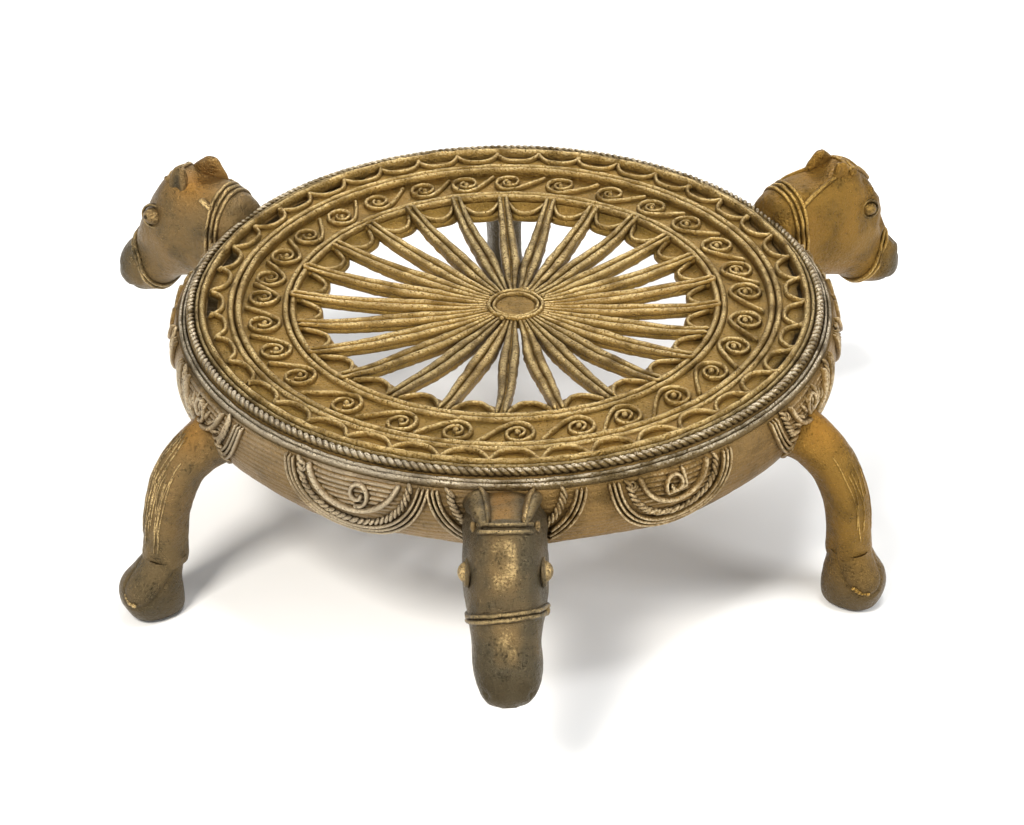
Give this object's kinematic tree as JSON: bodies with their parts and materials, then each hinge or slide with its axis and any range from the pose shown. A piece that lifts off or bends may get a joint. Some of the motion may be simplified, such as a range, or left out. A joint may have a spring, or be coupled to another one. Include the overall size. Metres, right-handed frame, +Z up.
{
  "type": "low table",
  "caption": "Low round cast brass table with an openwork spoked top, scroll and wave bands, half medallions on the wall, bent legs with rounded feet and horse heads at the rim.",
  "frame": {"origin": "on the floor, under the middle of the round top", "axes": "+Z up; the front horse head looks towards -Y; the feet stand at 60 degrees to either side of it and at the back"},
  "size_m": [0.2828, 0.3048, 0.0965],
  "materials": {
    "top": "aged cast brass, bright on the raised threads",
    "recess": "aged cast brass, darker in the recesses",
    "wall": "aged cast brass, brushed by laid threads",
    "limbs": "aged cast brass, warm and a little pitted"
  },
  "bodies": {
    "root": {"hub_plate": "recess", "hub_button": "top", "hub_inner_ring": "top", "hub_ring": "top", "web_ring": "recess", "scroll_floor_ring": "recess", "wave_floor_ring": "recess", "inner_ring_thread": "top", "inner_ring_outer_thread": "top", "outer_ring_thread": "top", "outer_ring_outer_thread": "top", "rim_thread": "top", "rope_ring": "wall", "bead_ring": "wall", "wall": "wall", "spokes": "top", "spoke_ridge_threads": "top", "web_scallops": "top", "scroll_threads": "top", "scroll_nubs": "top", "wave_threads": "top", "medallion_curls": "wall", "medallion_plain_arcs": "wall", "medallion_rope_arcs": "wall", "medallion_edge_threads": "wall", "right_leg": "limbs", "right_foot": "limbs", "left_leg": "limbs", "left_foot": "limbs", "back_leg": "limbs", "back_foot": "limbs", "front_head": "limbs", "front_ears": "limbs", "front_eyes": "limbs", "front_browband": "limbs", "front_noseband": "limbs", "right_head": "limbs", "right_ears": "limbs", "right_eyes": "limbs", "right_browband": "limbs", "right_noseband": "limbs", "right_collar": "limbs", "left_head": "limbs", "left_ears": "limbs", "left_eyes": "limbs", "left_browband": "limbs", "left_noseband": "limbs", "left_collar": "limbs"}
  },
  "joints": []
}
